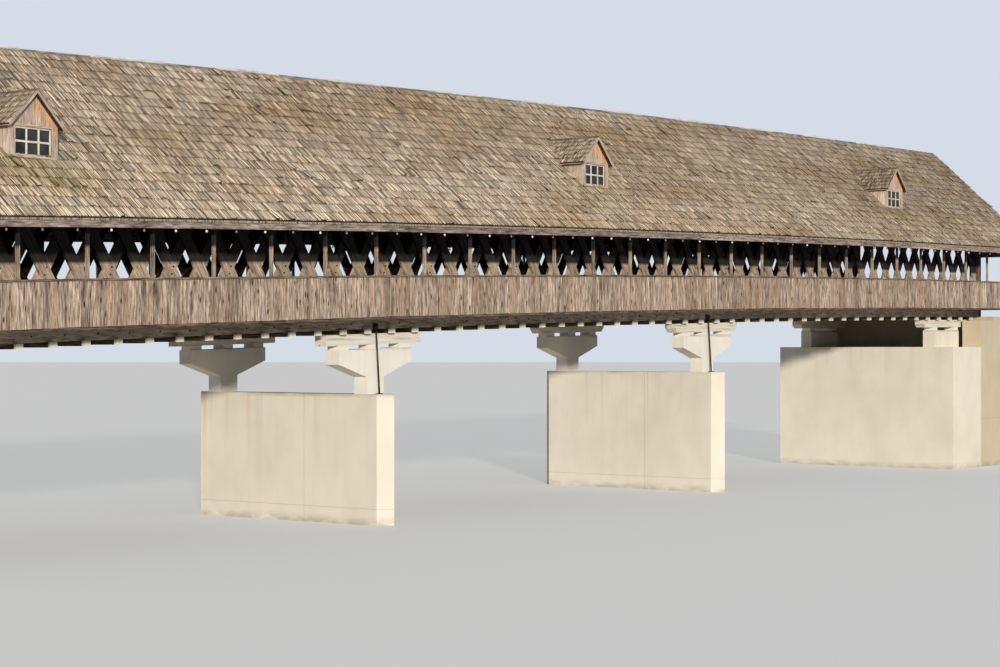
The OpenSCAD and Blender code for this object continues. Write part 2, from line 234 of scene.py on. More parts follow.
# Lamps under the eaves
LAMP_X = 0.2
LAMP_DROP = 0.036
BULB_R = 0.018
NECK_WIDTH = 0.6
NECK_UP = 0.008
SOCKET_R = 0.012
SOCKET_H = 0.02
SOCKET_Z = 0.032

# Heights above which timbers are painted dark as painted shade under the eaves, and half the depth of the
# change
PAINTED_SHADE_ON_TRUSS = 0.90
PAINTED_SHADE_ON_POSTS = 1.11
PAINTED_SHADE_BLUR = 0.025

# Where form lines show on the concrete, as places in the frame
PIER_JOINT_Y = -0.42
PIER_LIFT_Z = 0.27
WING_LIFT_Z = 1.2

# A top this high is above all of the concrete, so it leaves no dirty edge
NO_DIRTY_TOP = 9.0

# Light and camera
WORLD_STRENGTH = 0.49
SUN_STRENGTH = 2.85
SUN_BEARING = math.radians(44)
SUN_HEIGHT = math.radians(10.5)
SUN_BLUR = math.radians(3)
EYE = (-31.955, -24.80, 2.90)
LOOK = (0.7955, 0.606)
LENS = 76.25
SHIFT_UP = 0.0165

# Length, width, thickness and worn edge of the boards that are copied
PLANK = (0.64, 0.12, 0.015, 0.003)
THICK_BOARD = (3.0, 0.13, 0.04, 0.004)

SIDES = {"near": -1, "far": 1}


def line_knots():
    """Where the bridge line bends."""
    return np.linspace(-HALF_L, HALF_L, 2*STRETCHES + 1)


def line_z(x):
    """Height of the bridge line at x, a shallow curve taken in straight stretches."""
    knots = line_knots()
    heights = LINE_H + GRADE*knots - CAMBER*(knots/HALF_L)**2
    step = HALF_L/STRETCHES
    first, last = 2*heights[0] - heights[1], 2*heights[-1] - heights[-2]
    return np.interp(x, [-HALF_L - step, *knots, HALF_L + step], [first, *heights, last])


# Finishes


def paint(red, green, blue):
    """A colour as seen on a screen, 0 to 255, made linear."""
    return (*(((c/255 + 0.055)/1.055)**2.4 for c in (red, green, blue)), 1.0)


class Finish:
    """A material that is built up node by node."""

    def __init__(self, name, roughness=0.85, metallic=0.0, specular=0.3):
        self.material = bpy.data.materials.new(name)
        self.material.use_nodes = True
        self.tree = self.material.node_tree
        self.shader = self.tree.nodes["Principled BSDF"]
        self.shader.inputs["Roughness"].default_value = roughness
        self.shader.inputs["Metallic"].default_value = metallic
        self.shader.inputs["Specular IOR Level"].default_value = specular

    def add(self, kind, sockets, **settings):
        node = self.tree.nodes.new(kind)
        for name, value in settings.items():
            setattr(node, name, value)
        for key, value in sockets.items():
            if isinstance(value, bpy.types.NodeSocket):
                self.tree.links.new(value, node.inputs[key])
            else:
                node.inputs[key].default_value = value
        return node

    def place(self):
        return self.add("ShaderNodeTexCoord", {}).outputs["Object"]

    def attribute(self, name):
        return self.add("ShaderNodeAttribute", {}, attribute_name=name)

    def parts(self, vector):
        split = self.add("ShaderNodeSeparateXYZ", {0: vector})
        return split.outputs[0], split.outputs[1], split.outputs[2]

    def vector(self, x, y, z):
        return self.add("ShaderNodeCombineXYZ", {0: x, 1: y, 2: z}).outputs[0]

    def maths(self, operation, a, b=0.0, c=0.0):
        return self.add("ShaderNodeMath", {0: a, 1: b, 2: c}, operation=operation).outputs[0]

    def product(self, first, *others):
        for other in others:
            first = self.maths("MULTIPLY", first, other)
        return first

    def straight(self, value, slope, start):
        """start where the value is 0, and slope more for each 1 of it."""
        return self.maths("MULTIPLY_ADD", value, slope, start)

    def off_centre(self, y):
        return self.maths("ABSOLUTE", y)

    def scaled(self, vector, scale):
        return self.add("ShaderNodeVectorMath", {0: vector, 1: scale}, operation="MULTIPLY").outputs[0]

    def noise(self, vector, scale, detail=3.0, roughness=0.55):
        place = self.scaled(vector, scale)
        sockets = {"Vector": place, "Scale": 1.0, "Detail": detail, "Roughness": roughness}
        return self.add("ShaderNodeTexNoise", sockets).outputs["Fac"]

    def cells(self, vector, scale):
        sockets = {"Vector": self.scaled(vector, scale), "Scale": 1.0}
        return self.add("ShaderNodeTexVoronoi", sockets).outputs["Distance"]

    def chance(self, number):
        """A random number from 0 to 1 for each whole number or board tone."""
        return self.add("ShaderNodeTexWhiteNoise", {"W": number}, noise_dimensions="1D").outputs["Value"]

    def fade(self, value, low, high):
        """0 at low, 1 at high, and straight in between; low may be the greater."""
        sockets = {"Value": value, "From Min": low, "From Max": high}
        return self.add("ShaderNodeMapRange", sockets).outputs["Result"]

    def ramp(self, factor, stops):
        node = self.add("ShaderNodeValToRGB", {"Fac": factor})
        band = node.color_ramp.elements
        while len(band) < len(stops):
            band.new(1.0)
        for element, (position, colour) in zip(band, stops):
            element.position = position
            element.color = colour
        return node.outputs["Color"]

    def mix(self, factor, first, second, blend="MIX"):
        sockets = {0: factor, 6: first, 7: second}
        return self.add("ShaderNodeMix", sockets, data_type="RGBA", blend_type=blend).outputs[2]

    def bright(self, colour, amount):
        return self.add("ShaderNodeVectorMath", {0: colour, "Scale": amount}, operation="SCALE").outputs[0]

    def done(self, colour, height=None, depth=0.002, strength=0.6):
        self.tree.links.new(colour, self.shader.inputs["Base Color"])
        if height is not None:
            sockets = {"Height": height, "Distance": depth, "Strength": strength}
            bump = self.add("ShaderNodeBump", sockets)
            self.tree.links.new(bump.outputs["Normal"], self.shader.inputs["Normal"])
        return self.material


# Where the grain of a timber runs: along it, across it, and a number for each board


def board_grain(f):
    """Grain for the boards that this script makes, which carry it as an attribute."""
    return f.attribute("grain").outputs["Vector"]


def timber_grain(axis, step):
    """Grain for a row of like timbers of the CAD model that stand a step apart along the bridge."""
    def grain(f):
        place = dict(zip("xyz", f.parts(f.place())))
        member = f.maths("ROUND", f.maths("DIVIDE", place["x"], step))
        number = f.chance(f.maths("ADD", member, f.maths("SIGN", place["y"])))
        along = place.pop(axis)
        return f.vector(along, f.maths("ADD", *place.values()), number)
    return grain


def above_line(f):
    """Height above the bridge line, near enough for a finish."""
    x, _, z = f.parts(f.place())
    curve = f.product(x, x, CAMBER/HALF_L**2)
    return f.maths("SUBTRACT", f.maths("ADD", f.straight(x, -GRADE, z), curve), LINE_H)


def lattice_grain(f):
    """Grain for the two layers of lattice planks, which lean opposite ways."""
    x, y, z = f.parts(f.place())
    outer = f.maths("GREATER_THAN", f.off_centre(y), LAYERS_Y)
    lean = f.straight(outer, -2.0, 1.0)
    rise = f.maths("SUBTRACT", above_line(f), CROSSING_Z)
    run = f.product(rise, lean, 1/math.tan(LATTICE_A))
    plank = f.maths("DIVIDE", f.maths("SUBTRACT", x, run), HALF_BAY)
    number = f.maths("ROUND", plank)
    across = f.product(f.maths("SUBTRACT", plank, number), HALF_BAY*math.sin(LATTICE_A))
    along = f.maths("DIVIDE", z, math.sin(LATTICE_A))
    tone = f.chance(f.maths("ADD", f.product(lean, 97.0), number))
    return f.vector(along, across, tone)


def wood(name, colours, grain, spread=0.2, knots=0.0, warm=None, warm_at=None, change=None):
    """Weathered wood of a pale, a middle and a dark colour: streaks and fibres along the grain, knots, and
    boards that differ in tone. Some boards are warm, or the part that warm_at gives, and change alters the
    colour by place."""
    pale, mid, dark = (paint(*colour) for colour in colours)
    f = Finish(name)
    run = grain(f)
    tone = f.parts(run)[2]
    streaks = f.noise(run, (3.0, 26, 41), 4, 0.62)
    fibres = f.noise(run, (6, 210, 17), 2)
    patches = f.noise(run, (2.6, 9, 29), 3)
    colour = f.ramp(streaks, [(0.32, dark), (0.47, mid), (0.65, pale)])
    if warm_at:
        likely = f.product(warm_at(f), f.fade(patches, 0.30, 0.50))
    elif warm:
        likely = f.fade(f.maths("ADD", f.chance(f.product(tone, 731)), patches), 1.05, 1.45)
    if warm:
        colour = f.mix(f.product(likely, 0.75), colour, paint(*warm))
    colour = f.mix(f.fade(fibres, 0.60, 0.30), colour, dark, "MULTIPLY")
    if knots:
        spots = f.cells(run, (3.2, 9.0, 53))
        colour = f.mix(f.product(f.fade(spots, 0.20, 0.08), knots), colour, paint(70, 46, 30))
    shade = f.product(f.straight(tone, 2*spread, 1 - spread), f.straight(patches, 0.9, 0.56))
    colour = f.bright(colour, shade)
    if change:
        colour = change(f, colour)
    height = f.maths("ADD", f.product(streaks, 0.5), f.product(fibres, 0.5))
    return f.done(colour, height)


def painted_shade_above(height):
    """Painted shade: timber high under the eaves is painted dark above the given height."""
    def change(f, colour):
        # Painted shade: the colour is darkened above the given height
        clean = f.fade(above_line(f), height + PAINTED_SHADE_BLUR, height - PAINTED_SHADE_BLUR)
        return f.bright(colour, f.straight(clean, 0.94, 0.06))
    return change


def pale_rim(f, colour):
    """The ends of the lowest shakes, which show as the roof's edge."""
    y = f.parts(f.place())[1]
    ends = f.noise(f.place(), (34, 1, 2), 2)
    butts = f.ramp(ends, [(0.35, paint(104, 88, 70)), (0.60, paint(190, 172, 146))])
    return f.mix(f.fade(f.off_centre(y), DRIP_Y - 0.006, DRIP_Y - 0.003), colour, butts)


def painted_sunlit_ends(f, colour):
    """The floor beams' ends, which stand out past the chords, in a pale colour that is painted sunlight."""
    y = f.parts(f.place())[1]
    edge = BEAM_END - BEAM_PAINTED_SUNLIGHT
    return f.mix(f.fade(f.off_centre(y), edge - 0.005, edge + 0.005), colour, paint(240, 232, 214))


def gable_side(f):
    """A band along the right-hand slope of every dormer's gable, where the boards have stayed warm."""
    x, y, _ = f.parts(f.place())
    turned = f.product(f.maths("SIGN", y), -1.0)
    height = above_line(f)
    at = 0.0
    for middle in DORMER_XS:
        off = f.product(f.maths("SUBTRACT", x, middle), turned)
        slope = f.straight(off, -math.tan(DORMER_A), DORMER_PEAK)
        band = f.fade(f.maths("SUBTRACT", slope, height), 0.26, 0.16)
        half = f.maths("COMPARE", off, DORMER_HALF/2, DORMER_HALF/2)
        at = f.straight(band, half, at)
    return at


def shake_finish(name, tint=1.0):
    """Old split shakes: grey-brown, streaked and split along the grain, darker up under the next course."""
    f = Finish(name, 0.9, specular=0.15)
    run = board_grain(f)
    along, _, tone = f.parts(run)
    place = f.place()
    x, y, _ = f.parts(place)
    streaks = f.noise(run, (1.4, 44, 37), 2, 0.6)
    fibres = f.noise(run, (4, 150, 61), 2)
    splits = f.noise(run, (0.9, 33, 83), 1)
    clouds = f.noise(place, (0.30, 0.8, 0.8), 3)
    dark, mid, pale = paint(96, 78, 60), paint(177, 155, 128), paint(242, 223, 198)
    colour = f.ramp(streaks, [(0.34, dark), (0.47, mid), (0.60, pale)])
    pick = f.chance(f.product(tone, 577))
    colour = f.mix(f.product(f.fade(pick, 0.80, 1.0), 0.35), colour, paint(176, 142, 116))
    colour = f.mix(f.product(f.fade(pick, 0.30, 0.05), 0.45), colour, paint(158, 152, 140))
    colour = f.mix(f.fade(clouds, 0.45, 0.75), colour, paint(222, 208, 182), "MULTIPLY")
    moss = f.attribute("moss").outputs["Fac"]
    colour = f.mix(f.product(moss, 0.5), colour, paint(150, 144, 92))
    # Darker towards the right end of the bridge: painted shade
    shade = f.product(f.straight(tone, 0.53*tint, 0.81),
                      f.straight(f.fade(x, 16, 0), 0.20, 0.82),
                      f.straight(f.fade(f.off_centre(y), 1.5, 2.8), 0.20, 0.97),
                      f.fade(along, -0.03, 0.10),
                      f.straight(f.fade(fibres, 0.36, 0.60), 0.40, 0.76),
                      f.straight(f.fade(splits, 0.36, 0.43), 0.70, 0.30))
    return f.done(f.bright(colour, shade), f.straight(fibres, 0.3, streaks), 0.006, 0.8)


def concrete(name, base, top, streak, joint_y=None, lift_z=None):
    """Cast concrete with rain streaks that start at its top, form lines and a dirty top edge."""
    f = Finish(name, 0.8, specular=0.25)
    place = f.place()
    _, y, z = f.parts(place)
    clouds = f.noise(place, (1.1, 1.1, 0.9), 5)
    grains = f.noise(place, (45, 45, 45), 3)
    runs = f.noise(place, (5.5, 5.5, 0.22), 4, 0.65)
    pale, dull = (tuple(min(c*k, 1.0) for c in base[:3]) + (1.0,) for k in (1.06, 0.90))
    colour = f.ramp(clouds, [(0.30, dull), (0.55, base), (0.75, pale)])
    wet = f.product(f.fade(runs, 0.50, 0.70), f.straight(f.fade(z, top - 1.3, top), 0.75, 0.15))
    colour = f.mix(f.product(wet, streak), colour, paint(206, 172, 122))
    dirt = f.product(f.fade(z, top - 0.07, top), f.fade(clouds, 0.35, 0.6))
    colour = f.mix(f.product(dirt, 0.6), colour, paint(120, 106, 84))
    foot = f.product(f.fade(z, 0.16, 0.0), f.fade(f.noise(place, (2.5, 2.5, 6), 3), 0.3, 0.6))
    colour = f.mix(f.product(foot, 0.45), colour, paint(104, 94, 74))
    height = f.straight(grains, 0.35, clouds)
    for value, at in ((y, joint_y), (z, lift_z)):
        if at is not None:
            line = f.fade(f.maths("ABSOLUTE", f.maths("SUBTRACT", value, at)), 0.009, 0.003)
            colour = f.mix(f.product(line, 0.28), colour, paint(150, 128, 96))
            height = f.straight(line, -0.8, height)
    return f.done(colour, height, 0.004, 0.5)


def painted_timber(name):
    """Heavy bolsters in old white paint, grimy along the grain."""
    f = Finish(name, 0.7)
    grime = f.noise(f.place(), (1.2, 12, 22), 4)
    stops = [(0.28, paint(176, 160, 134)), (0.46, paint(232, 224, 206)), (0.7, paint(246, 241, 230))]
    return f.done(f.ramp(grime, stops), grime, 0.003)


def steel(name):
    """Dark steel with patches of rust."""
    f = Finish(name, 0.55, metallic=0.7, specular=0.5)
    rust = f.noise(f.place(), (14, 14, 6), 4)
    return f.done(f.ramp(rust, [(0.42, paint(46, 42, 40)), (0.62, paint(84, 66, 52))]), rust, 0.001)


def window_glass(name):
    """Old window panes, dark as painted shade of the inside behind them, with a faint film that differs from
    pane to pane.
    """
    f = Finish(name, 0.08, specular=0.6)
    film = f.noise(f.place(), (4, 4, 4), 2)
    return f.done(f.ramp(film, [(0.35, paint(22, 24, 26)), (0.65, paint(62, 66, 62))]), film, 0.001, 0.2)


def milk_glass(name):
    """Frosted bulbs, some of them gone dull."""
    f = Finish(name, 0.25, specular=0.5)
    haze = f.noise(f.place(), (40, 40, 40), 2)
    tone = f.parts(board_grain(f))[2]
    glass = f.ramp(haze, [(0.3, paint(232, 232, 226)), (0.7, paint(252, 252, 250))])
    return f.done(f.mix(f.fade(tone, 0.60, 0.50), glass, paint(128, 122, 112)))


def wood_finishes():
    """The finish of each kind of board and timber: its three colours, and where its grain runs."""
    return {
        "siding": wood("siding_boards", [(242, 223, 203), (189, 168, 149), (117, 97, 82)],
                       board_grain, spread=0.26, knots=1.0, warm=(192, 162, 134)),
        "fascia": wood("fascia_boards", [(217, 200, 189), (168, 151, 138), (108, 90, 78)],
                       board_grain),
        "ridge": wood("bleached_ridge_strips", [(252, 250, 246), (244, 242, 238), (206, 200, 192)],
                      board_grain, spread=0.04),
        "deck": wood("deck_planks", [(170, 150, 126), (134, 116, 96), (92, 76, 60)],
                     board_grain, spread=0.22, knots=0.5),
        "portal": wood("portal_boards", [(192, 170, 146), (152, 132, 112), (108, 88, 72)],
                       board_grain, knots=0.7, warm=(176, 132, 96)),
        "dormer": wood("dormer_boards", [(236, 222, 208), (218, 200, 182), (174, 152, 134)],
                       board_grain, spread=0.12, knots=0.5, warm=(255, 188, 124), warm_at=gable_side),
        "trim": wood("pale_window_wood", [(232, 218, 204), (212, 193, 176), (158, 136, 120)],
                     board_grain, spread=0.08),
        "bars": wood("white_window_bars", [(248, 243, 232), (240, 232, 218), (204, 190, 172)],
                     board_grain, spread=0.04),
        # Soffit boards in dark colours: painted shade under the dormers' overhangs
        "soffit": wood("soffit_boards_painted_shade", [(84, 70, 54), (60, 48, 38), (38, 30, 24)],
                       board_grain, spread=0.10),
        "posts": wood("posts", [(218, 200, 180), (184, 165, 145), (132, 112, 96)],
                      timber_grain("z", BAY), spread=0.12, knots=0.4, change=painted_shade_above(PAINTED_SHADE_ON_POSTS)),
        "lattice": wood("lattice_planks", [(228, 211, 188), (202, 183, 160), (150, 130, 110)],
                        lattice_grain, spread=0.12, knots=0.4, change=painted_shade_above(PAINTED_SHADE_ON_TRUSS)),
        "chords": wood("chord_timbers", [(238, 224, 202), (212, 196, 172), (156, 140, 116)],
                       timber_grain("x", 3*BAY), spread=0.14, knots=0.5, change=painted_shade_above(PAINTED_SHADE_ON_TRUSS)),
        "beams": wood("beams", [(140, 128, 110), (98, 84, 70), (62, 50, 40)],
                      timber_grain("y", HALF_BAY), spread=0.16, change=painted_sunlit_ends),
        "rafters": wood("rafters", [(126, 106, 84), (86, 70, 54), (52, 40, 30)],
                        timber_grain("y", BAY), spread=0.16),
        "roof": wood("roof_boards", [(92, 78, 60), (66, 54, 42), (42, 34, 26)],
                     timber_grain("x", 2*BAY), spread=0.12, change=pale_rim),
        "walkway": wood("walkway_timbers", [(150, 132, 110), (112, 96, 80), (72, 60, 48)],
                        timber_grain("x", HALF_BAY), spread=0.14),
        "cheeks": wood("dormer_walls", [(238, 224, 208), (220, 203, 185), (174, 154, 136)],
                       timber_grain("z", CHEEK_BOARD_W), spread=0.10),
        "walls": wood("portal_walls", [(170, 150, 128), (132, 114, 96), (90, 74, 60)],
                      timber_grain("z", END_BOARD_W), spread=0.14),
    }


# Modelling


def clear_selection():
    if bpy.context.object and bpy.context.object.mode != "OBJECT":
        bpy.ops.object.mode_set(mode="OBJECT")
    bpy.ops.object.select_all(action="DESELECT")


def block(size):
    """A block from the origin to size, to be shaped."""
    clear_selection()
    bpy.ops.mesh.primitive_cube_add(size=1, location=[s/2 for s in size], scale=size)
    bpy.ops.object.transform_apply(location=True, rotation=True, scale=True)
    return bpy.context.object


def edit(piece, kind, wanted):
    """Opens a piece in edit mode with only the wanted faces or edges selected, told by their corners."""
    mesh = piece.data
    bpy.ops.object.mode_set(mode="EDIT")
    bpy.ops.mesh.select_mode(type=kind)
    bpy.ops.mesh.select_all(action="DESELECT")
    bpy.ops.object.mode_set(mode="OBJECT")
    for part in mesh.edges if kind == "EDGE" else mesh.polygons:
        part.select = wanted([mesh.vertices[v].co for v in part.vertices])
    bpy.ops.object.mode_set(mode="EDIT")


def pattern_of(piece, size=(1, 1, 1)):
    """Takes a modelled piece out of the scene as a pattern of unit size, to be copied many times."""
    bpy.ops.object.mode_set(mode="OBJECT")
    corners = np.array([v.co for v in piece.data.vertices])/size
    faces = [list(face.vertices) for face in piece.data.polygons]
    bpy.data.objects.remove(piece)
    return corners, faces


def plank_pattern(length, width, thickness, edge):
    """A board along x with its long edges worn off."""
    board = block((length, width, thickness))
    edit(board, "EDGE", lambda ends: abs(ends[0].x - ends[1].x) > length/2)
    bpy.ops.mesh.bevel(offset=edge, segments=1)
    return pattern_of(board, (length, width, thickness))


def shake_pattern():
    """A split shake along x: thin at its head and thick at its butt."""
    shake = block((1, 1, 1))
    edit(shake, "FACE", lambda ends: all(end.x < 0.5 for end in ends))
    bpy.ops.transform.resize(value=(1, 1, 0.25), center_override=(0, 0, 0))
    return pattern_of(shake)


def bolt_pattern():
    """A bolt head that stands out along z, with its rim taken off."""
    clear_selection()
    middle = (0, 0, BOLT_H/2)
    bpy.ops.mesh.primitive_cylinder_add(vertices=10, radius=BOLT_R, depth=BOLT_H, location=middle)
    bolt = bpy.context.object
    bpy.ops.object.transform_apply(location=True, rotation=True, scale=True)
    edit(bolt, "FACE", lambda ends: all(end.z > BOLT_H/2 for end in ends))
    bpy.ops.mesh.inset(thickness=BOLT_RIM)
    bpy.ops.transform.translate(value=(0, 0, BOLT_CROWN))
    return pattern_of(bolt)


def bulb_pattern():
    """A round bulb with its neck drawn up into a socket."""
    clear_selection()
    bpy.ops.mesh.primitive_uv_sphere_add(segments=12, ring_count=8, radius=BULB_R)
    bulb = bpy.context.object
    edit(bulb, "FACE", lambda ends: all(end.z > BULB_R*2/3 for end in ends))
    bpy.ops.transform.resize(value=(NECK_WIDTH, NECK_WIDTH, 1), center_override=(0, 0, 0.02))
    bpy.ops.transform.translate(value=(0, 0, NECK_UP))
    return pattern_of(bulb)


def socket_pattern():
    """A lamp's socket with its lower rim taken off."""
    clear_selection()
    middle = (0, 0, SOCKET_Z)
    bpy.ops.mesh.primitive_cylinder_add(vertices=10, radius=SOCKET_R, depth=SOCKET_H, location=middle)
    socket = bpy.context.object
    bpy.ops.object.transform_apply(location=True, rotation=True, scale=True)
    edit(socket, "EDGE", lambda ends: all(end.z < SOCKET_Z for end in ends))
    bpy.ops.mesh.bevel(offset=0.003, segments=1)
    return pattern_of(socket)


def spot(low, high, order):
    """A place for a pattern that fills a box; order says which way its length, width and thickness run."""
    size = np.subtract(high, low)
    ways = [[size[i] if "xyz"[i] == axis else 0.0 for i in range(3)] for axis in order]
    return [list(low), *ways]


def mark(mesh, name, kind, value, numbers):
    """Stores numbers on a mesh's points, for its finish to read."""
    attribute = mesh.attributes.new(name, kind, "POINT")
    attribute.data.foreach_set(value, np.ravel(numbers).astype(np.float32))


def piece_of(name, pattern, spots, finish, seed, on_line=True):
    """One piece made of a copy of the pattern at each spot. Each spot is a corner and the ways that length,
    width and thickness run from it. On the line, every copy follows the bridge line's climb."""
    corners, faces = pattern
    spots = np.array(spots, float)
    ways = spots[:, 1:]
    points = spots[:, :1] + corners @ ways
    if on_line:
        points[..., 2] += line_z(points[..., 0])
    across = corners*np.linalg.norm(ways, axis=2)[:, None]
    tones = np.random.default_rng(seed).random(len(spots))
    tones = np.repeat(tones[:, None], len(corners), axis=1)
    turned = np.linalg.det(ways) < 0
    loops = [[i*len(corners) + v for v in (face[::-1] if turned[i] else face)]
             for i in range(len(spots)) for face in faces]
    mesh = bpy.data.meshes.new(name)
    mesh.from_pydata(points.reshape(-1, 3).tolist(), [], loops)
    grain = np.stack([across[..., 0], across[..., 1] + across[..., 2], tones], axis=-1)
    mark(mesh, "grain", "FLOAT_VECTOR", "vector", grain)
    mesh.materials.append(finish)
    piece = bpy.data.objects.new(name, mesh)
    bpy.context.scene.collection.objects.link(piece)
    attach(piece, "root")
    return piece


def trim(piece, point, outward):
    """Cuts off what lies outside a plane and closes the cut."""
    clear_selection()
    piece.select_set(True)
    bpy.context.view_layer.objects.active = piece
    bpy.ops.object.mode_set(mode="EDIT")
    bpy.ops.mesh.select_all(action="SELECT")
    bpy.ops.mesh.bisect(plane_co=point, plane_no=outward, use_fill=True, clear_outer=True)
    bpy.ops.object.mode_set(mode="OBJECT")


def joined(name, pieces):
    """Makes one piece of several, under a name of its own."""
    clear_selection()
    for piece in pieces:
        piece.select_set(True)
    bpy.context.view_layer.objects.active = pieces[0]
    bpy.ops.object.join()
    pieces[0].name = name


def split(low, high, sizes, rng):
    """Divides a run into boards of random size and gives each one's two ends."""
    ends = low + np.cumsum(rng.uniform(*sizes, int((high - low)/sizes[0]) + 2))
    ends = [low, *ends[ends < high - sizes[0]], high]
    return list(zip(ends[:-1], ends[1:]))


def lengths(low, high, sizes, rng):
    """Board lengths along the bridge; none runs over a bend of the bridge line."""
    bends = [low, *[k for k in line_knots() if low < k < high], high]
    return [pair for a, b in zip(bends[:-1], bends[1:]) for pair in split(a, b, sizes, rng)]


# Roof


def slope_ways(side):
    """The ways down a roof slope and out of it."""
    down = np.array([0, side*math.cos(ROOF_A), -math.sin(ROOF_A)])
    out = np.array([0, side*math.sin(ROOF_A), math.cos(ROOF_A)])
    return down, out


def course_runs(butt):
    """Stretches of a course that aren't taken up by a dormer."""
    y = butt*math.cos(ROOF_A)
    if not DORMER_BACK < y <= DORMER_Y:
        return [(-ROOF_X, ROOF_X)]
    edges = [-ROOF_X, *[x + half for x in DORMER_XS for half in (-DORMER_HALF, DORMER_HALF)], ROOF_X]
    return list(zip(edges[::2], edges[1::2]))


def shake(corner, across, down, out, length, rng, loose_share=LOOSE_SHARE):
    """One shake: now and then its butt has come up and it has twisted."""
    loose = rng.random() < loose_share
    lift = SHAKE_LIFT + rng.uniform(*(LOOSE_LIFT if loose else TIGHT_LIFT))
    twist = rng.uniform(0, LOOSE_TWIST if loose else TIGHT_TWIST)
    return [corner, down*length + out*lift, across + out*twist, out*rng.uniform(*SHAKE_T)]


def roof_shakes(name, side, pattern, finish):
    rng = np.random.default_rng(11 + side)
    down, out = slope_ways(side)
    ridge = np.array([0, 0, RIDGE_H])
    exposure = SLOPE_L/COURSES
    spots = []
    for k in range(int(COURSES)):
        butt = SLOPE_L - EAVE_IN - k*exposure
        head = max(butt - exposure - SHAKE_LAP, 0)
        for run in course_runs(butt):
            for a, b in split(*run, SHAKE_W, rng):
                gap = rng.uniform(*SHAKE_GAP)
                corner = ridge + [a + gap/2, 0, 0] + down*head
                length = butt - head - rng.uniform(0, SHAKE_UNEVEN if k else EAVE_UNEVEN)
                spots.append(shake(corner, np.array([b - a - gap, 0, 0]), down, out, length, rng))
    piece = piece_of(name + "_roof_shakes", pattern, spots, finish, 21 + side)
    mark_moss(piece, side)


def mark_moss(piece, side):
    """Marks the damp places below the dormers, where moss grows."""
    points = np.array([v.co for v in piece.data.vertices])
    moss = np.zeros(len(points))
    for x in DORMER_XS:
        beside = 1 - np.abs(points[:, 0] - x)/MOSS_HALF
        below = 1 - np.abs(side*points[:, 1] - DORMER_Y - MOSS_BELOW)/MOSS_DEPTH
        moss = np.maximum(moss, np.clip(beside, 0, 1)*np.clip(below, 0, 1))
    mark(piece.data, "moss", "FLOAT", "value", moss**0.6)


def ridge_boards(pattern, old, bleached):
    """Old boards along the ridge, and bleached strips that lie on them along every other stretch."""
    rng = np.random.default_rng(5)
    boards, strips = [], []
    for side in SIDES.values():
        down, out = slope_ways(side)
        width, thickness = down*CAP_W/math.cos(ROOF_A), out*CAP_T*math.cos(ROOF_A)
        for a, b in lengths(-ROOF_X, ROOF_X, CAP_L, rng):
            corner = [a + PLANK_GAP, 0, RIDGE_H + rng.uniform(0, FACE_UNEVEN)]
            boards.append([corner, [b - a - 2*PLANK_GAP, 0, 0], width, thickness])
    for k in STRIP_STEPS:
        a = STRIP_X + k*STRIP_STEP + rng.uniform(-STRIP_SHIFT, STRIP_SHIFT)
        length = STRIP_L + rng.uniform(-STRIP_L_PLAY, STRIP_L_PLAY)
        if a < -ROOF_X or a + length > ROOF_X:
            continue
        for side in SIDES.values():
            down, out = slope_ways(side)
            strips.append([[a, 0, RIDGE_H + STRIP_LIFT], [length, 0, 0], down*STRIP_W, out*STRIP_T])
    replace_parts(piece_of("ridge_boards", pattern, boards, old, 6), "ridge_cap")
    piece_of("ridge_strips", pattern, strips, bleached, 8)


def fascia_boards(name, side, pattern, finish):
    rng = np.random.default_rng(31 + side)
    spots = []
    for a, b in lengths(-ROOF_X, ROOF_X, FASCIA_L, rng):
        out = EAVE_Y - rng.uniform(0, FACE_UNEVEN)
        foot = FASCIA_TOP - FASCIA_H + rng.uniform(0, FASCIA_UNEVEN)
        low = (a + FASCIA_GAP, side*(EAVE_Y - FASCIA_T), foot)
        spots.append(spot(low, (b - FASCIA_GAP, side*out, FASCIA_TOP), "xzy"))
    boards = piece_of(name + "_fascia_boards", pattern, spots, finish, 32 + side)
    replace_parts(boards, name + "_fascia")


# Outer walls and floor


def siding_boards(name, side, pattern, finish):
    """Upright boards on the outer posts. Gives back its random draws, which the rail goes on with."""
    rng = np.random.default_rng(41 + side)
    spots = []
    for a, b in split(-END_X, END_X, SIDING_W, rng):
        gap = rng.uniform(0.2, 1)*BOARD_GAP
        low = (a + gap/2, side*SIDING_IN, rng.uniform(0, SIDING_UNEVEN))
        out = SIDING_IN + SIDING_T + rng.uniform(-SIDING_ROUGH, SIDING_ROUGH)
        spots.append(spot(low, (b - gap/2, side*out, SIDING_H), "zxy"))
    boards = piece_of(name + "_siding_boards", pattern, spots, finish, 42 + side)
    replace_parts(boards, name + "_siding")
    return rng


def rail_boards(name, side, pattern, finish, rng):
    """The rail that caps the siding."""
    foot, out = SIDING_H - RAIL_LAP, SIDING_IN + RAIL_T
    spots = []
    for a, b in lengths(-END_X, END_X, RAIL_L, rng):
        low = (a + RAIL_GAP, side*SIDING_IN, foot)
        spots.append(spot(low, (b - RAIL_GAP, side*out, foot + RAIL_H), "xyz"))
    piece_of(name + "_rail_boards", pattern, spots, finish, 43 + side)


def road_planks(pattern, finish):
    """Planks laid along the road, which hide the road deck's solid."""
    rng = np.random.default_rng(51)
    spots = []
    for y0, y1 in split(-ROAD_Y, ROAD_Y, PLANK_W, rng):
        for a, b in lengths(-END_X, END_X, ROAD_PLANK_L, rng):
            top = ROAD_T - rng.uniform(0, FACE_UNEVEN)
            high = (b - PLANK_GAP, y1 - PLANK_GAP, top)
            spots.append(spot((a + PLANK_GAP, y0 + PLANK_GAP, 0), high, "xyz"))
    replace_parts(piece_of("road_planks", pattern, spots, finish, 52), "road_deck")


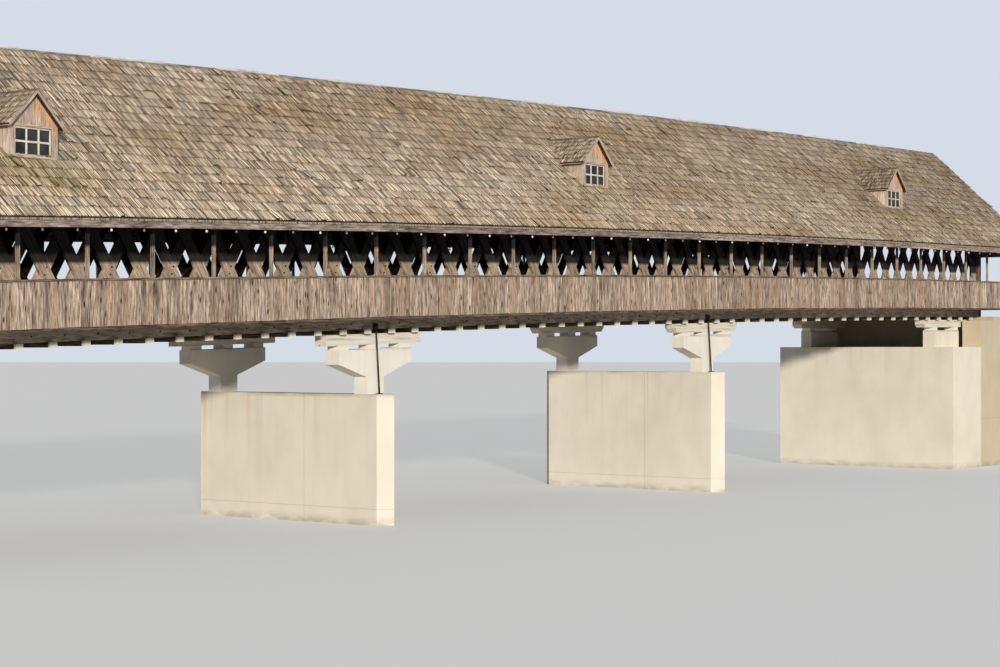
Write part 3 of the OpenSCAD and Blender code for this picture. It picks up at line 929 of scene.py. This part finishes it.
def walkway_planks(name, side, pattern, finish):
    """Cross planks on a walkway, thin enough to lie in the deck's own thickness and just above it."""
    rng = np.random.default_rng(61 + side)
    spots = []
    for a, b in split(-END_X, END_X, PLANK_W, rng):
        top = WALK_TOP + rng.uniform(*WALK_PROUD)
        low = (a + PLANK_GAP, side*(CHORD_OUT + PLANK_GAP), top - WALK_PLANK_T)
        spots.append(spot(low, (b - PLANK_GAP, side*(POST_IN - PLANK_GAP), top), "yxz"))
    piece_of(name + "_walkway_planks", pattern, spots, finish, 62 + side)


# Trusses


def bolt_pair(x, y, z, out):
    """Two bolt heads beside a place, one up to its right and one down to its left."""
    steps = (-BOLT_STEP, BOLT_STEP)
    return [[[x + step*BOLT_LEAN, y, z + step], [1, 0, 0], [0, 0, 1], [0, out, 0]] for step in steps]


def truss_bolts(name, side, pattern, finish):
    """Pairs of bolt heads on both faces of a truss: at every other crossing, and along the chords."""
    faces = ((side*TRUSS_OUT, side*CHORD_OUT, side), (side*TRUSS_IN, side*CHORD_IN, -side))
    chords = (CHORD_D/2 - CHORD_DROP, TRUSS_H - CHORD_DROP - CHORD_D/2)
    spots = []
    for truss_face, chord_face, out in faces:
        for k in range(-BAYS//2, BAYS//2):
            for row in BOLT_ROWS:
                x = k*BAY + (row % 2)*HALF_BAY/2
                spots += bolt_pair(x, truss_face, CROSSING_Z + row*ROW_H, out)
            for x in (k*BAY + HALF_BAY/2, k*BAY + HALF_BAY*3/2):
                for z in chords:
                    spots += bolt_pair(x, chord_face, z, out)
    piece_of(name + "_truss_bolts", pattern, spots, finish, 71 + side)


def rod_nuts(pattern, finish):
    """A large nut on each plate that the tie rods pull on."""
    spots = []
    for node in ("pier_1_pedestals", "pier_2_pedestals"):
        low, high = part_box(node)
        x = (low.x + high.x)/2
        for side in SIDES.values():
            ways = [[NUT_SCALE, 0, 0], [0, 0, NUT_SCALE], [0, NUT_SCALE*side, 0]]
            spots.append([[x, side*NUT_Y, NUT_Z], *ways])
    piece_of("rod_nuts", pattern, spots, finish, 73)


# Dormers


def dormer_ways(way):
    """The ways down one slope of a dormer's roof and out of it."""
    down = np.array([way*math.cos(DORMER_A), 0, -math.sin(DORMER_A)])
    out = np.array([way*math.sin(DORMER_A), 0, math.cos(DORMER_A)])
    return down, out


def above(x, height):
    """The height in the frame of what lies this high over the bridge line at x."""
    return float(line_z(x)) + height


def dormer_front(x, side, pattern, finish):
    """Upright boards on a dormer's front, cut round the window and to the gable."""
    y0, y1 = side*DORMER_Y, side*(DORMER_Y + FRONT_BOARD_T)
    peak = above(x, DORMER_PEAK)
    over = np.linspace(-WINDOW_HALF, WINDOW_HALF, BOARDS_OVER + 1)
    strips = [(-DORMER_HALF, -WINDOW_HALF, DORMER_BASE), (WINDOW_HALF, DORMER_HALF, DORMER_BASE)]
    strips += [(a, b, WINDOW_Z + WINDOW_H) for a, b in zip(over[:-1], over[1:])]
    spots = [spot((x + a + PLANK_GAP, y0, above(x, foot)), (x + b - PLANK_GAP, y1, peak), "zxy")
             for a, b, foot in strips]
    piece = piece_of("front", pattern, spots, finish, int(200 + 10*x) + side, on_line=False)
    for way in (-1, 1):
        trim(piece, (x, y0, peak - CUT_IN), tuple(dormer_ways(way)[1]))
    return piece


def window_casing(x, side):
    """Casing and sill round a dormer's window."""
    z = above(x, WINDOW_Z)
    wall, face, proud = (side*(DORMER_Y + out) for out in (-CASING_IN, CASING_OUT, SILL_OUT))
    foot, top = z - CASING_DOWN, z + WINDOW_H + CASING_W
    left, right = x - WINDOW_HALF, x + WINDOW_HALF
    return [spot((left - CASING_W, wall, foot), (left, face, top), "zxy"),
            spot((right, wall, foot), (right + CASING_W, face, top), "zxy"),
            spot((left, wall, z + WINDOW_H), (right, face, top), "xzy"),
            spot((left - SILL_PAST, wall, z - SILL_DOWN), (right + SILL_PAST, proud, z + SILL_UP), "xzy")]


def window_bars(x, side):
    """White bars and frame of a dormer's window of three by two panes."""
    z = above(x, WINDOW_Z)
    wall, glass = side*(DORMER_Y - CASING_IN), side*(DORMER_Y - GLASS_IN)
    edge = WINDOW_HALF - SASH_HALF
    uprights = [(x + k*WINDOW_HALF/3, BAR_HALF) for k in (-1, 1)] + [(x + k*edge, SASH_HALF) for k in (-1, 1)]
    levels = [(z + WINDOW_H/2, BAR_HALF), (z + SASH_HALF, SASH_HALF), (z + WINDOW_H - SASH_HALF, SASH_HALF)]
    spots = [spot((at - w, wall, z), (at + w, glass, z + WINDOW_H), "zxy") for at, w in uprights]
    for at, w in levels:
        low, high = (x - WINDOW_HALF, wall, at - w), (x + WINDOW_HALF, glass + side*2*UNLIKE, at + w)
        spots.append(spot(low, high, "xzy"))
    return spots


def rake_boards(x, side):
    """The boards that close the front edge of a dormer's roof, and those along its two eaves."""
    z = above(x, DORMER_TOP)
    back = DORMER_BACK - EAVE_BOARD_BACK
    spots = []
    for way in (-1, 1):
        down, out = dormer_ways(way)
        thickness = [0, side*(RAKE_T + way*UNLIKE), 0]
        spots.append([[x, side*DORMER_FRONT, z], down*DORMER_SLOPE_L, -out*RAKE_D, thickness])
        foot = np.array([x, side*back, z]) + down*(DORMER_SLOPE_L + EAVE_BOARD_T) - out*EAVE_BOARD_D
        spots.append([foot, [0, side*(DORMER_FRONT - back), 0], out*EAVE_BOARD_W, down*EAVE_BOARD_T])
    return spots


def dormer_soffits(x, side):
    """Boards under the part of a dormer's roof that stands out past its rafters."""
    z = above(x, DORMER_TOP)
    spots = []
    for way in (-1, 1):
        down, out = dormer_ways(way)
        corner = [x, side*DORMER_RAFTER_Y, z]
        spots.append([corner, down*DORMER_SLOPE_L, -out*SOFFIT_D, [0, side*DORMER_LIP, 0]])
    return spots


def dormer_shakes(x, side, rng):
    """Short shakes on a dormer's two slopes, back to where they meet the main roof."""
    exposure = DORMER_SLOPE_L/DORMER_COURSES
    spots = []
    for way in (-1, 1):
        down, out = dormer_ways(way)
        for k in range(DORMER_COURSES):
            butt = DORMER_SLOPE_L - k*exposure
            head = max(butt - DORMER_SHAKE_L, 0)
            height = DORMER_TOP - (butt - exposure/2)*math.sin(DORMER_A)
            back = max((RIDGE_H - height)/SLOPE - DORMER_SHAKES_IN, 0)
            for a, b in split(back, DORMER_FRONT + SHAKES_PAST, DORMER_SHAKE_W, rng):
                corner = np.array([x, side*a, above(x, DORMER_TOP)]) + down*head
                across = np.array([0, side*(b - a - DORMER_SHAKE_GAP), 0])
                length = butt - head - rng.uniform(0, EAVE_UNEVEN)
                spots.append(shake(corner, across, down, out, length, rng, DORMER_LOOSE))
    return spots


def dormer_caps(x, side):
    """Boards along a dormer's own ridge."""
    back = (RIDGE_H - DORMER_TOP)/SLOPE - DORMER_CAPS_IN
    length = DORMER_FRONT + SHAKES_PAST - back
    corner = [x, side*back, above(x, DORMER_TOP + DORMER_CAP_LIFT)]
    spots = []
    for way in (-1, 1):
        down, out = dormer_ways(way)
        thickness = out*(DORMER_CAP_T + way*UNLIKE)
        spots.append([corner, [0, side*length, 0], down*DORMER_CAP_W, thickness])
    return spots


def dormers(name, side, shapes, woods, shake_look, rng):
    """All that is added to the three dormers on one slope, each kind of board as one piece."""
    def piece(part, pattern, make, finish, slot, seed):
        spots = [one for x in DORMER_XS for one in make(x, side)]
        piece_of(f"{name}_dormer_{part}", pattern, spots, finish, seed, on_line=False)

    def shakes(x, side):
        return dormer_shakes(x, side, rng)

    fronts = [dormer_front(x, side, shapes["plank"], woods["dormer"]) for x in DORMER_XS]
    joined(name + "_dormer_boards", fronts)
    thick = shapes["thick_board"]
    piece("casings", thick, window_casing, woods["trim"], "dormer_board", 99)
    piece("windows", thick, window_bars, woods["bars"], "dormer_board", 101)
    piece("rakes", thick, rake_boards, woods["trim"], "dormer_board", 103)
    piece("soffits", thick, dormer_soffits, woods["soffit"], "dormer_board", 104)
    piece("shakes", shapes["shake"], shakes, shake_look, "dormer_shake", 105)
    piece("caps", thick, dormer_caps, woods["deck"], "dormer_board", 107)


# Portals


def portal_boards(end, pattern, finish):
    """Upright boards on an end wall, round the road and the two walkway doorways and up to the roof."""
    rng = np.random.default_rng(81 + end)
    face = end*PORTAL_X
    top = above(face, ROOF_UNDER)
    door0, door1 = CHORD_OUT + DOOR_FROM_CHORD, SIDING_IN - DOOR_FROM_SIDING
    zones = [(ROAD_Y, door0, -CHORD_DROP), (door0, door1, DOOR_H), (door1, WALL_OUT, WALL_FOOT)]
    zones = [(-b, -a, foot) for a, b, foot in zones[::-1]] + [(-ROAD_Y, ROAD_Y, PORTAL_H)] + zones
    spots = []
    for low, high, foot in zones:
        for a, b in split(low, high, WALL_BOARD_W, rng):
            out = face + end*(WALL_BOARD_T + rng.uniform(0, FACE_UNEVEN))
            spots.append(spot((face, a + PLANK_GAP, above(face, foot)), (out, b - PLANK_GAP, top), "zyx"))
    piece = piece_of("wall", pattern, spots, finish, 82 + end, on_line=False)
    for side in SIDES.values():
        trim(piece, (face, 0, top - CUT_IN), tuple(slope_ways(side)[1]))
    return piece


def portal_trim(end):
    """Casing round the road's opening and corner boards at the outer edges of an end wall."""
    wall = end*PORTAL_X
    face, proud = wall + end*WALL_BOARD_T, wall + end*(WALL_BOARD_T + TRIM_OUT)
    lintel, reach = above(wall, PORTAL_H), ROAD_Y + TRIM_W
    spots = [spot((face, -reach, lintel), (proud, reach, lintel + LINTEL_H), "yzx")]
    for side in SIDES.values():
        spots.append(spot((face, side*ROAD_Y, above(wall, -CHORD_DROP)), (proud, side*reach, lintel), "zyx"))
        foot = (face, side*(WALL_OUT - CORNER_W), above(wall, WALL_FOOT))
        spots.append(spot(foot, (proud, side*WALL_OUT, above(wall, CORNER_H)), "zyx"))
    return spots


def eave_lamps(name, side, shapes, glass, metal):
    """Two lamps to a bay under the fascia, each a bulb in its socket."""
    y, z = side*(EAVE_Y - FASCIA_T/2), FASCIA_TOP - FASCIA_H - LAMP_DROP
    xs = [k*HALF_BAY + LAMP_X for k in range(-BAYS - 1, BAYS + 1)]
    spots = [[[x, y, z], [1, 0, 0], [0, 1, 0], [0, 0, 1]] for x in xs]
    bulbs = piece_of(name + "_eave_bulbs", shapes["bulb"], spots, glass, 91 + side)
    bulbs.data.shade_smooth()
    piece_of(name + "_eave_sockets", shapes["socket"], spots, metal, 93 + side)


# The whole bridge


def dress(names, finish):
    """Gives CAD nodes their finish."""
    for name in names:
        for slot in nodes[name].material_slots:
            slot.material = finish


def dress_concrete():
    """Gives concrete nodes their base colour, the strength of their streaks and, on some, form lines."""
    cream, clean, old = paint(241, 233, 215), paint(252, 246, 232), paint(214, 200, 172)
    pier = (cream, 0.4, PIER_JOINT_Y, PIER_LIFT_Z)
    wing_walls = (old, 0.5, None, WING_LIFT_Z)
    kinds = {"pier_1": pier, "pier_2": pier,
             "pier_1_pedestals": (clean, 0.2), "pier_2_pedestals": (clean, 0.2),
             "left_abutment": (cream, 0.35), "right_abutment": (cream, 0.35),
             "left_wing_walls": wing_walls, "right_wing_walls": wing_walls}
    for name, (base, *rest) in kinds.items():
        dress([name], concrete(name + "_concrete", base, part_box(name)[1].z, *rest))
    dress(["bearing_blocks"], concrete("block_concrete", clean, NO_DIRTY_TOP, 0.1))


def dress_timber(woods):
    for side in SIDES:
        dress([side + "_lattice_left", side + "_lattice_right"], woods["lattice"])
        dress([side + "_lower_chord", side + "_upper_chord"], woods["chords"])
        dress([side + "_posts"], woods["posts"])
        dress([side + "_rafters"], woods["rafters"])
        dress([side + "_roof", side + "_dormer_roofs"], woods["roof"])
        dress([side + "_dormer_walls"], woods["cheeks"])
        dress([side + "_walkway", side + "_siding", side + "_fascia"], woods["walkway"])
    for end in ("left", "right"):
        dress([end + "_gable", end + "_portal_sides"], woods["walls"])
    dress(["floor_beams"], woods["beams"])
    dress(["tie_beams"], woods["rafters"])
    dress(["road_deck", "ridge_cap"], woods["walkway"])
    dress(["pier_1_bolsters", "pier_2_bolsters", "abutment_bolsters"], painted_timber("white_bolsters"))


def build():
    woods = wood_finishes()
    shake_look = shake_finish("old_split_shakes")
    dormer_shake_look = shake_finish("dormer_shakes", 0.7)
    steel_look = steel("dark_steel")
    bulb_look = milk_glass("milk_bulbs")
    dress_concrete()
    dress_timber(woods)
    dress(["tie_rods"], steel_look)
    dress(["dormer_glass"], window_glass("dormer_panes"))

    shapes = {"plank": plank_pattern(*PLANK),
              "thick_board": plank_pattern(*THICK_BOARD),
              "shake": shake_pattern(), "bolt": bolt_pattern(),
              "bulb": bulb_pattern(), "socket": socket_pattern()}
    plank, thick = shapes["plank"], shapes["thick_board"]
    dormer_rng = np.random.default_rng(7)
    for name, side in SIDES.items():
        roof_shakes(name, side, shapes["shake"], shake_look)
        fascia_boards(name, side, thick, woods["fascia"])
        siding_rng = siding_boards(name, side, plank, woods["siding"])
        rail_boards(name, side, plank, woods["deck"], siding_rng)
        walkway_planks(name, side, plank, woods["deck"])
        truss_bolts(name, side, shapes["bolt"], steel_look)
        eave_lamps(name, side, shapes, bulb_look, steel_look)
        dormers(name, side, shapes, woods, dormer_shake_look, dormer_rng)
    ridge_boards(thick, woods["fascia"], woods["ridge"])
    road_planks(thick, woods["deck"])
    rod_nuts(shapes["bolt"], steel_look)
    joined("portal_boards", [portal_boards(end, plank, woods["portal"]) for end in (-1, 1)])
    trims = portal_trim(-1) + portal_trim(1)
    piece_of("portal_trim", thick, trims, woods["portal"], 111, on_line=False)


# Stage, light and camera


def pale_floor():
    clear_selection()
    bpy.ops.mesh.primitive_plane_add(size=900)
    floor = bpy.context.object
    floor.name = "floor"
    f = Finish("pale_floor", 0.95, specular=0.1)
    path = f.add("ShaderNodeLightPath", {})
    seen = f.maths("MAXIMUM", path.outputs["Is Camera Ray"], path.outputs["Is Glossy Ray"])
    f.done(f.mix(seen, paint(206, 198, 182), paint(226, 224, 219)))
    glow = f.add("ShaderNodeEmission", {"Color": paint(230, 229, 225), "Strength": 1.0})
    shaders = {0: f.product(seen, 0.5), 1: f.shader.outputs[0], 2: glow.outputs[0]}
    blend = f.add("ShaderNodeMixShader", shaders)
    f.tree.links.new(blend.outputs[0], f.tree.nodes["Material Output"].inputs["Surface"])
    floor.data.materials.append(f.material)


def soft_world():
    """Soft light on the bridge from all round, and a plain pale backdrop that the camera sees."""
    world = bpy.data.worlds.new("sky")
    bpy.context.scene.world = world
    world.use_nodes = True
    tree = world.node_tree
    sky = tree.nodes["Background"]
    sky.inputs["Color"].default_value = paint(206, 220, 238)
    sky.inputs["Strength"].default_value = WORLD_STRENGTH
    plain = tree.nodes.new("ShaderNodeBackground")
    plain.inputs["Color"].default_value = paint(212, 221, 231)
    path = tree.nodes.new("ShaderNodeLightPath")
    either = tree.nodes.new("ShaderNodeMath")
    either.operation = "MAXIMUM"
    tree.links.new(path.outputs["Is Camera Ray"], either.inputs[0])
    tree.links.new(path.outputs["Is Transmission Ray"], either.inputs[1])
    pick = tree.nodes.new("ShaderNodeMixShader")
    for place, output in enumerate((either.outputs[0], sky.outputs[0], plain.outputs[0])):
        tree.links.new(output, pick.inputs[place])
    tree.links.new(pick.outputs[0], tree.nodes["World Output"].inputs["Surface"])


def low_sun():
    """A low soft key from the left front."""
    level, fall = math.cos(SUN_HEIGHT), -math.sin(SUN_HEIGHT)
    toward = Vector((math.sin(SUN_BEARING)*level, math.cos(SUN_BEARING)*level, fall))
    key = bpy.data.lights.new("key", "SUN")
    key.energy = SUN_STRENGTH
    key.color = (1.0, 0.94, 0.85)
    key.angle = SUN_BLUR
    lamp = bpy.data.objects.new("key", key)
    lamp.rotation_euler = toward.to_track_quat("-Z", "Y").to_euler()
    bpy.context.scene.collection.objects.link(lamp)


def camera():
    """Stands in front of the bridge's lower end, looks level along it, and is framed a little upwards."""
    lens = bpy.data.cameras.new("camera")
    lens.lens = LENS
    lens.sensor_width = 36
    lens.shift_y = SHIFT_UP
    lens.clip_end = 500
    eye = bpy.data.objects.new("camera", lens)
    eye.location = EYE
    eye.rotation_euler = (math.radians(90), 0, -math.atan2(*LOOK))
    bpy.context.scene.collection.objects.link(eye)
    bpy.context.scene.camera = eye


bpy.context.scene.view_settings.view_transform = "Standard"
build()
pale_floor()
soft_world()
low_sun()
camera()
